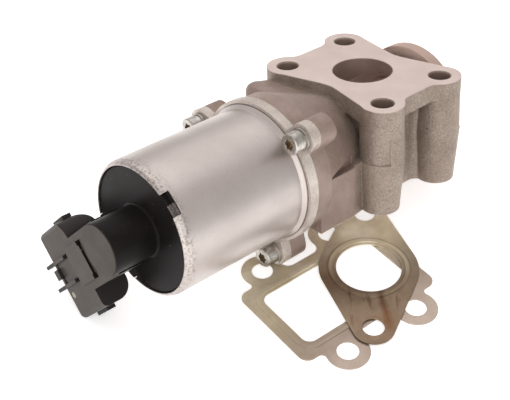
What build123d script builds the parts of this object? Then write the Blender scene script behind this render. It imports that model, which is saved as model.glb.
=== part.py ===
"""Exhaust gas recirculation valve, built as a bench assembly of separate pieces, in millimetres.

The origin is the centre of the round port on the machined top face. +Z is the normal of that face,
and +X runs along the solenoid towards the plug. The valve shuts at rest and opens towards +X.
"""
from build123d import *
import math
import os

os.makedirs("parts", exist_ok=True)

# Mounting interfaces
BOLT_SPACING_X = 36.5
BOLT_SPACING_Y = 55.0
BOLT_HOLE_R = 4.5
HOLE_CHAMFER = 0.7
PORT_R = 13.0
INLET_R = 13.8
BODY_DEPTH = 48.6

# Top flange of the housing
LOBE_R = 9.2
FLANGE_T = 8.0
SIDE_HALF_Y = 31.4
WAIST_FRONT = 20.3
WAIST_BACK = 21.0
LOBE_BLEND = 6.0

# Axis of the solenoid and stations along it
AXIS_DROP = 24.3
JOINT_X = 59.0
RING_T = 4.5
CAN_END_X = 123.4
STUB_LENGTH = 19.6
COLLAR_FACE_X = -36.5

# Housing body below the flange
LOWER_LOBE_R = 9.9
FOOT_R = 8.4
PARTING_X = 22.5
LOWER_HALF_Y = 22.8
LOWER_FRONT_X = 52.0
LOWER_CORNER_R = 7.0
RUN_OUT_Y = 25.4
COLLAR_R = 25.0
COLLAR_T = 6.5
COLLAR_NECK_R = 20.5
NECK_INSET = 0.8
NECK_WAIST_R = 19.4
NECK_BACK_X = 22.0
NECK_STEP = 2.0
NECK_CROWN = 3.1
NECK_CROWN_RUN = 8.0
COLUMN_BLEND = 5.0
SHOULDER_X = 42.0
SHOULDER_HALF_Y = 31.4
SHOULDER_TOP = 1.2
SHOULDER_FALL = 4.4
SHOULDER_CREST_X = 37.0
SHOULDER_R = 4.5
POCKET_BACK_X = 32.0
POCKET_FRONT_X = 46.2
POCKET_FLOOR = 25.3
POCKET_TOP = 20.6
POCKET_Y = 21.8

# Gas passages
WINDOW_X = 57.0
WINDOW_Y = 31.0
WINDOW_DEPTH = 5.0
WINDOW_CORNER_R = 4.0
CHAMBER_R = 18.3
CHAMBER_BACK_X = -17.0
CHAMBER_FRONT_X = 17.0

# Valve
SEAT_OUTER_R = 16.5
SEAT_BORE_R = 13.3
SEAT_T = 5.0
HEAD_R = 14.6
HEAD_T = 3.2
STEM_R = 3.0
STROKE = 5.5
BUSH_R = 5.5
BUSH_BACK_X = 20.0
BUSH_FRONT_X = 43.0
BUSH_BOSS_R = 9.0
SHIELD_R = 8.0
SHIELD_DEPTH = 6.0
RUNNING_CLEARANCE = 0.04
SPRING_BAY_R = 16.0
SPRING_BAY_BACK_X = 40.0
RETAINER_X = 45.0
RETAINER_R = 12.5
RETAINER_T = 1.6
SPRING_R = 9.6
SPRING_WIRE_R = 0.8
SPRING_TURNS = 3
CLIP_T = 1.0
CLIP_DEPTH = 0.6
STEM_GRIP = 6.0
SEAT_LAP = 0.05

# Ring seals
SEAL_INSET = 3.1
SEAL_GROOVE = 0.75
SEAL_PLAY = 0.03
CAP_SEAL_SECTION_R = 0.95

# Three screws round the can
SCREW_OFFSET = 5.3
SCREW_ANGLES = (43.5, 163.5, 283.5)
SCREW_R = 2.5
SCREW_HEAD_R = 4.3
SCREW_HEAD_H = 5.4
SCREW_LENGTH = 11.0
SOCKET_R = 2.3
SOCKET_DEPTH = 2.8
WASHER_R = 4.9
WASHER_T = 1.4
EAR_R = 6.1
BOSS_LENGTH = 8.5

# Solenoid can
CAN_R = 28.0
CAN_WALL = 1.3
CAN_FLARE = 1.4
CAN_FLARE_T = 1.6
CAN_LIP = 1.8
RING_RIM = 1.6
CAN_ROLL = 2.4
NOTCH_ANGLE = 44.8
NOTCH_WIDTH = 9.6
NOTCH_LENGTH = 3.2
SIDE_CUT_ANGLE = 221.4
SIDE_CUT_WIDTH = 28.8
SIDE_CUT_INNER_R = 20.0
KEY_INSET = 0.6
KEY_PLAY = 0.3
KEY_STEP = 1.6

# Magnetic circuit and coil
SPRING_SEAT_T = 1.5
ARMATURE_R = 9.9
SLEEVE_WALL = 0.7
SLEEVE_CLEARANCE = 0.05
ARMATURE_SETBACK = 5.5
ARMATURE_LENGTH = 22.0
STOP_GAP = 0.5
BOBBIN_WALL = 1.2
BOBBIN_FLANGE_T = 1.5
BOBBIN_PLAY = 1.0
WINDING_INSET = 1.8
REAR_PLATE_T = 3.0
CORE_GUIDE_LENGTH = 8.0
CORE_BORE_GAP = 0.8
CAP_DEPTH = 7.9

# End cap, stub and plug shell
STUB_R = 10.7
STUB_FILLET = 0.8
COVER_T = 1.6
SENSOR_BAY_R = 8.2
SHELL_ANGLE = 41.0
SHELL_BACK = 25.0
SHELL_DEPTH = 23.3
SHELL_LENGTH = 38.6
SHELL_WIDTH = 14.5
SHELL_BACK_R = 7.0
SHELL_FRONT_R = 2.4
SHELL_END_R = 8.0
SHELL_SETBACK = 3.0
SHELL_WALL = 1.8
SHELL_FLOOR = 5.0
NECK_HALF_WIDTH = 11.2
NECK_T = 11.5
LATCH_BACK = 17.5
LATCH_FRONT = 31.2
LATCH_RISE = 1.0
LATCH_SIDES = (-8.4, 7.8)
LATCH_POCKET = 2.0
POCKET_DEPTH = 0.8
RECESS_DEPTH = 0.4
RECESS_MARGIN = 1.6
NUB_SIDES = (-3.4, 0.9)
NUB_LENGTH = 3.6
NUB_RISE = 1.2
PRONG_BACK = 34.5
PRONG_FRONT = 53.6
PRONG_SIDES = (-6.0, 4.4)
PRONG_WIDTH = 1.5
PRONG_T = 2.4
RIB_STARTS = (32.0, 35.0)
RIB_LENGTH = 10.0
RIB_REACH = 1.6
RIB_HALF_T = 2.0
TERMINAL_COUNT = 5
TERMINAL_PITCH = 6.0
TERMINAL_T = 0.8
TERMINAL_W = 2.2
TERMINAL_ROOT = 3.0
TERMINAL_REACH = 11.0
LEAD_R = 0.7
LEAD_CIRCLE_R = 15.0
LEAD_REACH = 3.0

# Position sensor
ROD_R = 2.0
ROD_CLEARANCE = 0.05
ROD_TAIL = 2.0
BOARD_T = 1.0
BOARD_DROP = 6.0
BOARD_HALF_Y = 3.6
BOARD_GAP = 0.3
WIPER_T = 4.0
WIPER_R = 4.6
SENSOR_SPRING_R = 3.4
SENSOR_SPRING_WIRE_R = 0.35
SENSOR_SPRING_TURNS = 5
SENSOR_SPRING_LENGTH = 17.4

# Gaskets, lying on the ground plane that the valve leans on
GASKET_T = 0.5
GROUND_NORMAL = (0.115, 0.155, 0.9812)
GROUND_LIFT = 3.403
GROUND_ANGLE = -5.4
GASKET_HOLE_R = 4.5
GASKET_LOBE_R = 9.0
GASKET_CENTRE_U = 56.5
GASKET_CENTRE_V = 52.6
GASKET_BORDER = 6.8
GASKET_CORNER_R = 4.5
GASKET_BLEND = 4.0
BEAD_HEIGHT = 0.4
BEAD_WIDTH = 2.0
BEAD_MARGIN = 1.4
PIPE_GASKET_CENTRE_U = 38.7
PIPE_GASKET_CENTRE_V = 51.9
PIPE_GASKET_ANGLE = 51.4
PIPE_HOLE_SPACING = 66.0
PIPE_WAIST_R = 21.2
PIPE_LOBE_R = 8.8

# Derived places
RING_FRONT_X = JOINT_X + RING_T
SEAT_FRONT_X = CHAMBER_BACK_X
STUB_END_X = CAN_END_X + STUB_LENGTH
SHELL_FRONT_X = STUB_END_X - SHELL_SETBACK
CAP_BACK_X = CAN_END_X - CAP_DEPTH
CAP_SEAL_X = CAP_BACK_X + 2.5
REAR_PLATE_BACK_X = CAP_BACK_X - REAR_PLATE_T
ARMATURE_BACK_X = JOINT_X + SPRING_SEAT_T + ARMATURE_SETBACK
ARMATURE_FRONT_X = ARMATURE_BACK_X + ARMATURE_LENGTH
CORE_BACK_X = ARMATURE_FRONT_X + STROKE + STOP_GAP
CORE_R = ARMATURE_R + SLEEVE_CLEARANCE
SLEEVE_R = CORE_R + SLEEVE_WALL
SLEEVE_BACK_X = JOINT_X + SPRING_SEAT_T
COVER_X = STUB_END_X - COVER_T
ROD_LENGTH = COVER_X - SENSOR_SPRING_LENGTH + ROD_TAIL - ARMATURE_FRONT_X
PLATE_R = CAN_R - CAN_WALL - 0.3
BOBBIN_FLANGE_R = PLATE_R - BOBBIN_PLAY
WINDING_R = BOBBIN_FLANGE_R - WINDING_INSET
CAN_FLARE_R = CAN_R + CAN_FLARE
CAN_LIP_R = CAN_R - CAN_LIP
KEY_R = CAN_R - KEY_INSET
SEAL_R = CAN_R - SEAL_INSET
RING_R = CAN_FLARE_R + RING_RIM
NECK_R = RING_R - NECK_INSET
SCREW_CIRCLE_R = RING_R + SCREW_OFFSET
GROUND_OFFSET = GROUND_LIFT - AXIS_DROP * GROUND_NORMAL[2] - SCREW_CIRCLE_R
SEAL_CENTRE_R = CAN_R - CAN_WALL - CAP_SEAL_SECTION_R
BOLTS = [
    (sx * BOLT_SPACING_X / 2, sy * BOLT_SPACING_Y / 2)
    for sx in (1, -1)
    for sy in (1, -1)
]


def axis_plane(x, roll=0.0):
    """Plane across the solenoid axis at station x: its local X is +Y of the valve, turned by roll."""
    turn = math.radians(roll)
    side = Vector(0, math.cos(turn), math.sin(turn))
    return Plane(origin=(x, 0, -AXIS_DROP), x_dir=side, z_dir=(1, 0, 0))


def rod(r, x0, x1):
    """Solid round bar on the solenoid axis from x0 to x1."""
    return extrude(axis_plane(x0) * Circle(r), amount=x1 - x0)


def tube(outer, inner, x0, x1):
    """Round tube on the solenoid axis."""
    return extrude(axis_plane(x0) * (Circle(outer) - Circle(inner)), amount=x1 - x0)


def turned(points):
    """Solid turned about the solenoid axis from (x, radius) corners."""
    corners = [Vector(x, 0, -AXIS_DROP + r) for x, r in points]
    face = make_face(Polyline(*corners, close=True))
    return revolve(face, axis=Axis((0, 0, -AXIS_DROP), (1, 0, 0)), revolution_arc=360)


def block(x0, x1, y0, y1, z0, z1):
    """Box between two corners."""
    centre = ((x0 + x1) / 2, (y0 + y1) / 2, (z0 + z1) / 2)
    return Pos(*centre) * Box(x1 - x0, y1 - y0, z1 - z0)


def upright(sketch, z0, z1):
    """Plan outline raised from z0 to z1."""
    return extrude(Pos(0, 0, z0) * sketch, amount=z1 - z0)


def screw_spots():
    """Screw centres across the axis, as (y, z) from the axis."""
    spots = []
    for angle in SCREW_ANGLES:
        turn = math.radians(angle)
        spots.append((SCREW_CIRCLE_R * math.cos(turn), SCREW_CIRCLE_R * math.sin(turn)))
    return spots


def blended(outline, radius, chosen):
    """Rounds the chosen inner corners of a plan outline."""
    corners = [v for v in outline.vertices() if chosen(v)]
    return fillet(corners, radius) if corners else outline


def flange_outline():
    """Four-lobed outline of the top flange, with shallow waists facing the can and the collar."""
    hx = BOLT_SPACING_X / 2
    hy = BOLT_SPACING_Y / 2
    front = hx + LOBE_R
    middle = Polyline(
        (front, hy), (WAIST_FRONT, 0), (front, -hy), (hx, -SIDE_HALF_Y), (-hx, -SIDE_HALF_Y),
        (-front, -hy), (-WAIST_BACK, 0), (-front, hy), (-hx, SIDE_HALF_Y), (hx, SIDE_HALF_Y),
        close=True,
    )
    outline = make_face(middle)
    for x, y in BOLTS:
        outline += Pos(x, y) * Circle(LOBE_R)
    outline = blended(outline, LOBE_BLEND, lambda v: abs(abs(v.Y) - SIDE_HALF_Y) < 0.01 and abs(v.X) < hx - 1)
    return blended(outline, 3 * LOBE_BLEND, lambda v: abs(v.Y) < 0.01)


def base_outline(lobe_r):
    """Plan of the lower flange and its gasket: a border round the window and four lobes."""
    outline = RectangleRounded(WINDOW_X + 2 * GASKET_BORDER, WINDOW_Y + 2 * GASKET_BORDER, GASKET_CORNER_R)
    for x, y in BOLTS:
        outline += Pos(x, y) * Circle(lobe_r)
    edge = WINDOW_Y / 2 + GASKET_BORDER
    hx = BOLT_SPACING_X / 2
    outline = blended(outline, GASKET_BLEND, lambda v: abs(abs(v.Y) - edge) < 0.01 and abs(v.X) < hx)
    outer = lambda v: abs(abs(v.Y) - edge) < 0.01 and hx < abs(v.X) < hx + lobe_r
    return blended(outline, GASKET_BLEND / 2, outer)


def body_outline():
    """Plan of the body between the columns, and of the columns with their blends."""
    hx = BOLT_SPACING_X / 2
    outline = Rectangle(2 * WAIST_FRONT, 2 * LOWER_HALF_Y)
    for x, y in BOLTS:
        outline += Pos(x, y) * Circle(FOOT_R - 1)
    inner = lambda v: abs(v.X) < hx - 1 and abs(abs(v.Y) - LOWER_HALF_Y) < 0.01
    return blended(outline, COLUMN_BLEND, inner)


def run_out():
    """Plan of the lower body between the columns and the can."""
    corners = make_face(Polyline(
        (0, -LOWER_HALF_Y), (LOWER_FRONT_X, -LOWER_HALF_Y), (LOWER_FRONT_X, RUN_OUT_Y),
        (POCKET_BACK_X, RUN_OUT_Y), (0, LOWER_HALF_Y - 1), close=True,
    ))
    return fillet([v for v in corners.vertices() if v.X > LOWER_FRONT_X - 1 and v.Y < 0], LOWER_CORNER_R)


def column(x, y):
    """Drafted column round one bolt hole, relieved above the axis on the side away from the middle."""
    reach = 2 * LOWER_LOBE_R
    height = AXIS_DROP - FLANGE_T
    middle = -AXIS_DROP + height / 2
    inwards = Rot(0, 0, math.copysign(90, -y))
    upper = Pos(x, y, middle) * inwards * Cone(LOWER_LOBE_R, LOBE_R, height)
    relief = Pos(x, y, middle) * (Cylinder(reach, height) - inwards * Cylinder(LOBE_R, height))
    relief &= Pos(math.copysign(PARTING_X + reach, x), y, middle) * Box(2 * reach, 3 * reach, height)
    drop = BODY_DEPTH - AXIS_DROP
    lower = Pos(x, y, -AXIS_DROP - drop / 2) * inwards * Cone(FOOT_R, LOWER_LOBE_R, drop)
    return upper - relief + lower


def housing():
    """Cast housing: flange, columns, neck, collar, screw bosses, gas passages and stem boss."""
    body = upright(flange_outline(), -FLANGE_T, 0)
    body += upright(body_outline(), -BODY_DEPTH, -FLANGE_T)
    body += upright(run_out(), -BODY_DEPTH, -AXIS_DROP)
    body += upright(base_outline(FOOT_R - 0.5), -BODY_DEPTH, -BODY_DEPTH + FLANGE_T)
    for x, y in BOLTS:
        body += column(x, y)
    flare = JOINT_X - BOSS_LENGTH
    inside = NECK_WAIST_R - NECK_STEP
    body += turned([
        (0, 0), (0, inside), (NECK_BACK_X - NECK_STEP, inside), (NECK_BACK_X, NECK_WAIST_R),
        (NECK_BACK_X + NECK_CROWN_RUN, NECK_WAIST_R + NECK_CROWN),
        (flare - NECK_CROWN_RUN, NECK_R - NECK_CROWN), (flare, NECK_R), (JOINT_X, NECK_R), (JOINT_X, 0),
    ])
    low = SHOULDER_TOP + SHOULDER_FALL
    side = make_face(Polyline(
        (0, -AXIS_DROP), (SHOULDER_X, -AXIS_DROP), (SHOULDER_X, -SHOULDER_TOP),
        (SHOULDER_CREST_X, -SHOULDER_TOP), (WAIST_FRONT, -low), (0, -low), close=True,
    ))
    shoulder = extrude(Plane.XZ.offset(-2) * side, amount=SHOULDER_HALF_Y + 2)
    outer = shoulder.faces().sort_by(Axis.Y)[0]
    top = [e for e in outer.edges() if e.center().Z > -AXIS_DROP + 1 and abs(e.tangent_at(0.5).Z) < 0.9]
    shoulder = fillet(top, SHOULDER_R)
    shoulder = fillet(shoulder.faces().sort_by(Axis.X)[-1].edges(), SHOULDER_R - 1)
    body += shoulder
    for y, z in screw_spots():
        root = Vector(y, z) * (NECK_R - EAR_R) / SCREW_CIRCLE_R
        web = make_hull((Pos(y, z) * Circle(EAR_R)).edges() + (Pos(root.X, root.Y) * Circle(EAR_R)).edges())
        body += extrude(axis_plane(JOINT_X - BOSS_LENGTH) * web, amount=BOSS_LENGTH)
    body += turned([
        (COLLAR_FACE_X, 0), (COLLAR_FACE_X, COLLAR_R - 1), (COLLAR_FACE_X + 1, COLLAR_R),
        (COLLAR_FACE_X + COLLAR_T, COLLAR_R), (COLLAR_FACE_X + COLLAR_T + 1.5, COLLAR_NECK_R),
        (-WAIST_BACK + 2, COLLAR_NECK_R), (-WAIST_BACK + 2, 0),
    ])
    body -= block(POCKET_BACK_X, flare, RUN_OUT_Y, 2 * RUN_OUT_Y, -BODY_DEPTH, -POCKET_TOP)
    body -= block(POCKET_BACK_X, POCKET_FRONT_X, POCKET_Y, 2 * RUN_OUT_Y, -POCKET_FLOOR, -POCKET_TOP)
    body -= block(2 * COLLAR_FACE_X, 0, -CAN_R, CAN_R, -BODY_DEPTH - COLLAR_R, -BODY_DEPTH)
    # Gas passages
    ceiling = -BODY_DEPTH + WINDOW_DEPTH
    body -= upright(RectangleRounded(WINDOW_X, WINDOW_Y, WINDOW_CORNER_R), -BODY_DEPTH, ceiling)
    body -= rod(CHAMBER_R, CHAMBER_BACK_X, CHAMBER_FRONT_X)
    half = WINDOW_Y / 2
    body -= block(CHAMBER_BACK_X, CHAMBER_FRONT_X, -half, half, ceiling - 1, -AXIS_DROP)
    body -= Pos(0, 0, -AXIS_DROP / 2) * Cylinder(PORT_R, AXIS_DROP)
    body -= rod(INLET_R, COLLAR_FACE_X, SEAT_FRONT_X - SEAT_T + 1)
    body -= rod(SEAT_OUTER_R, SEAT_FRONT_X - SEAT_T, SEAT_FRONT_X)
    # Stem boss and spring bay
    body -= rod(SPRING_BAY_R, SPRING_BAY_BACK_X, JOINT_X)
    body += tube(BUSH_BOSS_R, BUSH_R, CHAMBER_FRONT_X, BUSH_FRONT_X)
    body -= rod(STEM_R + 1, CHAMBER_FRONT_X - 1, BUSH_FRONT_X)
    body -= rod(BUSH_R, BUSH_BACK_X, BUSH_FRONT_X + 1)
    # Bolt holes, screw holes and the seal groove
    for x, y in BOLTS:
        body -= Pos(x, y, -BODY_DEPTH / 2) * Cylinder(BOLT_HOLE_R, BODY_DEPTH)
        body -= Pos(x, y, -HOLE_CHAMFER / 2) * Cone(BOLT_HOLE_R, BOLT_HOLE_R + HOLE_CHAMFER, HOLE_CHAMFER)
    for y, z in screw_spots():
        depth = SCREW_LENGTH - RING_T - WASHER_T + 0.6
        hole = axis_plane(JOINT_X - depth) * Pos(y, z) * Circle(SCREW_R)
        body -= extrude(hole, amount=depth)
    body -= tube(SEAL_R + SEAL_GROOVE, SEAL_R - SEAL_GROOVE, JOINT_X - 2 * SEAL_GROOVE, JOINT_X)
    return body


def seat():
    """Hard seat ring with a conical lead, pressed in the wall between inlet and chamber."""
    back = SEAT_FRONT_X - SEAT_T
    return turned([
        (back, SEAT_BORE_R), (back, SEAT_OUTER_R - 0.4), (back + 0.4, SEAT_OUTER_R),
        (SEAT_FRONT_X, SEAT_OUTER_R), (SEAT_FRONT_X, HEAD_R),
        (SEAT_FRONT_X - HEAD_R + SEAT_BORE_R, SEAT_BORE_R),
    ])


def poppet():
    """Valve head and stem in one piece; the cone of the head closes on the seat."""
    cone = HEAD_R - SEAT_BORE_R
    small = SEAT_BORE_R - SEAT_LAP
    back = SEAT_FRONT_X - cone - SEAT_LAP
    front = SEAT_FRONT_X + HEAD_T
    groove = RETAINER_X - CLIP_T
    stem_end = ARMATURE_BACK_X + STEM_GRIP
    return turned([
        (back, 0), (back, small - 1.5), (back + 0.3, small), (SEAT_FRONT_X - SEAT_LAP, HEAD_R - SEAT_LAP),
        (SEAT_FRONT_X + 1, HEAD_R - SEAT_LAP), (front - 0.8, STEM_R + 3), (front + 2.5, STEM_R),
        (groove, STEM_R), (groove, STEM_R - CLIP_DEPTH),
        (RETAINER_X, STEM_R - CLIP_DEPTH), (RETAINER_X, STEM_R),
        (stem_end, STEM_R), (stem_end, 0),
    ])


def clip():
    """Split clip in the stem groove behind the spring retainer."""
    ring = tube(STEM_R + 1.4, STEM_R - CLIP_DEPTH, RETAINER_X - CLIP_T, RETAINER_X)
    gap = block(RETAINER_X - CLIP_T, RETAINER_X, -1.2, 1.2, -AXIS_DROP, -AXIS_DROP + STEM_R + 2)
    return ring - gap


def retainer():
    """Dished plate that carries the spring's moving end."""
    x = RETAINER_X
    t = RETAINER_T
    return turned([
        (x, STEM_R), (x, RETAINER_R - 1), (x + 0.8, RETAINER_R), (x + 2.2 * t, RETAINER_R),
        (x + 2.2 * t, RETAINER_R - t / 2), (x + t, RETAINER_R - t / 2), (x + t, SPRING_R - 2.5),
        (x + 2 * t, SPRING_R - 2.5), (x + 2 * t, STEM_R),
    ])


def coil_spring(radius, wire, x0, x1, turns):
    """Helical wire spring on the axis between two faces."""
    start = x0 + wire
    length = x1 - x0 - 2 * wire
    path = Helix(pitch=length / turns, height=length, radius=radius)
    section = Plane(origin=path @ 0, z_dir=path % 0) * Circle(wire)
    wound = sweep(section, path=path, is_frenet=True)
    return axis_plane(start).location * wound


def armature():
    """Moving iron, pressed on the stem, with pressure-relief grooves along its side."""
    x0 = ARMATURE_BACK_X
    x1 = ARMATURE_FRONT_X
    iron = turned([
        (x0, STEM_R), (x0, ARMATURE_R - 0.8), (x0 + 0.8, ARMATURE_R), (x1 - 4, ARMATURE_R),
        (x1, ARMATURE_R - 3), (x1, 0), (x0 + STEM_GRIP, 0), (x0 + STEM_GRIP, STEM_R),
    ])
    for roll in range(0, 360, 90):
        groove = axis_plane(x0, roll) * Pos(ARMATURE_R, 0) * Circle(0.8)
        iron -= extrude(groove, amount=ARMATURE_LENGTH)
    return iron


def fixed_core():
    """Fixed iron with a conical face towards the armature and a bore for the sensor rod."""
    x0 = CORE_BACK_X
    return turned([
        (x0, ROD_R + CORE_BORE_GAP), (x0, CORE_R - 3), (x0 - 3.4, CORE_R - 0.4), (x0 - 3.4, CORE_R),
        (REAR_PLATE_BACK_X, CORE_R), (REAR_PLATE_BACK_X, ROD_R + ROD_CLEARANCE),
        (REAR_PLATE_BACK_X - CORE_GUIDE_LENGTH, ROD_R + ROD_CLEARANCE),
        (REAR_PLATE_BACK_X - CORE_GUIDE_LENGTH - CORE_BORE_GAP, ROD_R + CORE_BORE_GAP),
    ])


def bobbin():
    """Moulded bobbin between the pole plates."""
    inner = SLEEVE_R
    wall = inner + BOBBIN_WALL
    x0 = RING_FRONT_X + 0.5
    x1 = REAR_PLATE_BACK_X
    t = BOBBIN_FLANGE_T
    r = BOBBIN_FLANGE_R
    return turned([
        (x0, inner), (x0, r), (x0 + t, r), (x0 + t, wall), (x1 - t, wall), (x1 - t, r), (x1, r), (x1, inner),
    ])


def winding():
    """Copper winding that fills the bobbin."""
    wall = SLEEVE_R + BOBBIN_WALL
    return tube(WINDING_R, wall, RING_FRONT_X + 0.5 + BOBBIN_FLANGE_T, REAR_PLATE_BACK_X - BOBBIN_FLANGE_T)


def front_plate():
    """Iron plate between the housing and the coil; its lip is the fixed seat of the return spring."""
    plate = tube(PLATE_R, STEM_R + 1.0, JOINT_X, SLEEVE_BACK_X)
    return plate + tube(PLATE_R, SLEEVE_R, SLEEVE_BACK_X, RING_FRONT_X + 0.5)


def guide_sleeve():
    """Thin tube that the armature slides in and the fixed core is held in."""
    return tube(SLEEVE_R, CORE_R, SLEEVE_BACK_X, REAR_PLATE_BACK_X)


def stem_bush():
    """Bearing bush of the stem, pressed in the boss of the housing."""
    return tube(BUSH_R, STEM_R + RUNNING_CLEARANCE, BUSH_BACK_X, BUSH_FRONT_X)


def stem_shield():
    """Thin cup round the stem that keeps soot off the bush."""
    wall = 0.6
    back = CHAMBER_FRONT_X - SHIELD_DEPTH
    rim = SHIELD_R - 0.8
    inner = CHAMBER_FRONT_X - wall
    return turned([
        (CHAMBER_FRONT_X, STEM_R + 0.5), (CHAMBER_FRONT_X, SHIELD_R), (back, rim), (back, rim - wall),
        (inner, SHIELD_R - wall), (inner, STEM_R + 0.5),
    ])


def rear_plate():
    """Iron plate between the coil and the cap."""
    x0 = REAR_PLATE_BACK_X
    x1 = x0 + REAR_PLATE_T
    plate = tube(PLATE_R, ROD_R + 1.0, x0, x1)
    for y, z in lead_spots():
        plate -= extrude(axis_plane(x0) * Pos(y, z) * Circle(LEAD_R + 0.8), amount=REAR_PLATE_T)
    return plate


def can():
    """Drawn can: flared foot, straight wall and a front edge rolled in over the cap."""
    foot = RING_FRONT_X
    end = CAN_END_X + 0.6
    inner = CAN_R - CAN_WALL
    roll = CAN_ROLL
    profile = [
        (foot - CAN_FLARE_T, inner), (foot - CAN_FLARE_T, CAN_FLARE_R), (foot + 0.6, CAN_FLARE_R),
        (foot + 2.0, CAN_R), (end - roll, CAN_R), (end - roll * 0.35, CAN_R - 0.55), (end, CAN_LIP_R + 0.35),
        (end, CAN_LIP_R), (end - 0.6, CAN_LIP_R), (end - roll, inner),
    ]
    shell = turned(profile)
    cut_back = end - NOTCH_LENGTH
    shell -= rim_bar(NOTCH_ANGLE, SIDE_CUT_INNER_R, CAN_R + CAN_WALL, NOTCH_WIDTH, cut_back, end + 1)
    shell -= rim_bar(SIDE_CUT_ANGLE, SIDE_CUT_INNER_R, CAN_R + CAN_WALL, SIDE_CUT_WIDTH, cut_back, end + 1)
    return shell


def rim_bar(angle, inner, outer, width, x0, x1):
    """Straight bar between two radii at one angle round the axis."""
    face = axis_plane(x0, angle) * Pos((inner + outer) / 2, 0) * Rectangle(outer - inner, width)
    return extrude(face, amount=x1 - x0)


def ring():
    """Clamp ring with three ears and a recess for the flare of the can."""
    body = rod(RING_R, JOINT_X, RING_FRONT_X)
    for y, z in screw_spots():
        root = Vector(y, z) * (RING_R - EAR_R) / SCREW_CIRCLE_R
        web = make_hull((Pos(y, z) * Circle(EAR_R)).edges() + (Pos(root.X, root.Y) * Circle(EAR_R)).edges())
        body += extrude(axis_plane(JOINT_X) * web, amount=RING_T)
    body -= rod(PLATE_R + 0.3, JOINT_X, RING_FRONT_X)
    body -= rod(CAN_FLARE_R + 0.15, RING_FRONT_X - CAN_FLARE_T, RING_FRONT_X)
    for y, z in screw_spots():
        hole = axis_plane(JOINT_X) * Pos(y, z) * Circle(SCREW_R + 0.3)
        body -= extrude(hole, amount=RING_T)
    return body


def washers():
    """One washer under each screw head."""
    rings = []
    for y, z in screw_spots():
        face = axis_plane(RING_FRONT_X) * Pos(y, z) * (Circle(WASHER_R) - Circle(SCREW_R + 0.3))
        rings.append(extrude(face, amount=WASHER_T))
    return Compound(children=rings)


def screws():
    """Three socket-head screws, each with a six-lobed socket."""
    bars = []
    under_head = RING_FRONT_X + WASHER_T
    for y, z in screw_spots():
        spot = Pos(y, z)
        head = extrude(axis_plane(under_head) * spot * Circle(SCREW_HEAD_R), amount=SCREW_HEAD_H)
        head = chamfer(head.edges().group_by(Axis.X)[-1], 0.4)
        socket = Circle(SOCKET_R * 0.78)
        for lobe in range(6):
            socket += Rot(0, 0, 60 * lobe) * Pos(SOCKET_R * 0.72, 0) * Circle(SOCKET_R * 0.28)
        face = axis_plane(under_head + SCREW_HEAD_H - SOCKET_DEPTH) * spot * socket
        head -= extrude(face, amount=SOCKET_DEPTH)
        shank = extrude(axis_plane(under_head - SCREW_LENGTH) * spot * Circle(SCREW_R), amount=SCREW_LENGTH)
        bars.append(head + shank)
    return Compound(children=bars)


def ring_seal(radius, section, x):
    """Round-section ring seal about the axis."""
    face = Plane.XZ * Pos(x, -AXIS_DROP + radius) * Circle(section)
    return revolve(face, axis=Axis((0, 0, -AXIS_DROP), (1, 0, 0)), revolution_arc=360)


SHELL_FRAME = Plane(
    origin=(SHELL_FRONT_X - SHELL_WIDTH / 2, 0, -AXIS_DROP),
    x_dir=(1, 0, 0),
    z_dir=(0, -math.cos(math.radians(SHELL_ANGLE)), -math.sin(math.radians(SHELL_ANGLE))),
)


def plug_block(inset, depth0, depth1):
    """Length of the plug shell between two depths from the axis; inset gives the shape of its hollow."""
    width = SHELL_WIDTH - 2 * inset
    length = SHELL_LENGTH - 2 * inset
    outline = Rectangle(width, length)
    outline = fillet([v for v in outline.vertices() if v.X < 0], SHELL_BACK_R - inset)
    outline = fillet([v for v in outline.vertices() if v.X > width / 2 - 0.01], SHELL_FRONT_R - inset)
    return extrude(SHELL_FRAME.offset(depth0) * outline, amount=depth1 - depth0)


def shell_bar(x0, x1, side0, side1, depth0, depth1):
    """Straight bar on the plug shell: stations along the axis, across the mating direction and along it."""
    middle = (x0 + x1) / 2 - SHELL_FRONT_X + SHELL_WIDTH / 2
    face = Pos(middle, -(side0 + side1) / 2) * Rectangle(x1 - x0, side1 - side0)
    return extrude(SHELL_FRAME.offset(depth0) * face, amount=depth1 - depth0)


def latch_details():
    """Raised latch plate, the prongs and the nub at the rim, and the ribs on the ends of the shell."""
    x = SHELL_FRONT_X
    details = shell_bar(x - 1, x + LATCH_RISE, LATCH_SIDES[0], LATCH_SIDES[1], LATCH_BACK, LATCH_FRONT)
    for side in PRONG_SIDES:
        half = PRONG_WIDTH / 2
        details += shell_bar(x - 1, x - 1 + PRONG_T, side - half, side + half, PRONG_BACK, PRONG_FRONT)
    far = SHELL_BACK + SHELL_DEPTH
    details += shell_bar(x - 1, x + NUB_RISE, NUB_SIDES[0], NUB_SIDES[1], far + 1 - NUB_LENGTH, far + 1)
    edge = SHELL_LENGTH / 2
    middle = x - SHELL_WIDTH / 2
    for side, start in zip((-edge, edge), RIB_STARTS):
        low = min(side, side + math.copysign(RIB_REACH, side))
        depths = (start, start + RIB_LENGTH)
        details += shell_bar(middle - RIB_HALF_T, middle + RIB_HALF_T, low, low + RIB_REACH, *depths)
    return details


def plate_pockets():
    """Pockets at two corners of the latch plate."""
    x = SHELL_FRONT_X
    half = LATCH_POCKET / 2
    cuts = []
    for side in LATCH_SIDES:
        spot = side - math.copysign(half, side)
        depths = (LATCH_BACK - half, LATCH_BACK + half)
        cuts.append(shell_bar(x - POCKET_DEPTH, x + LATCH_RISE, spot - half, spot + half, *depths))
    return cuts


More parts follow.
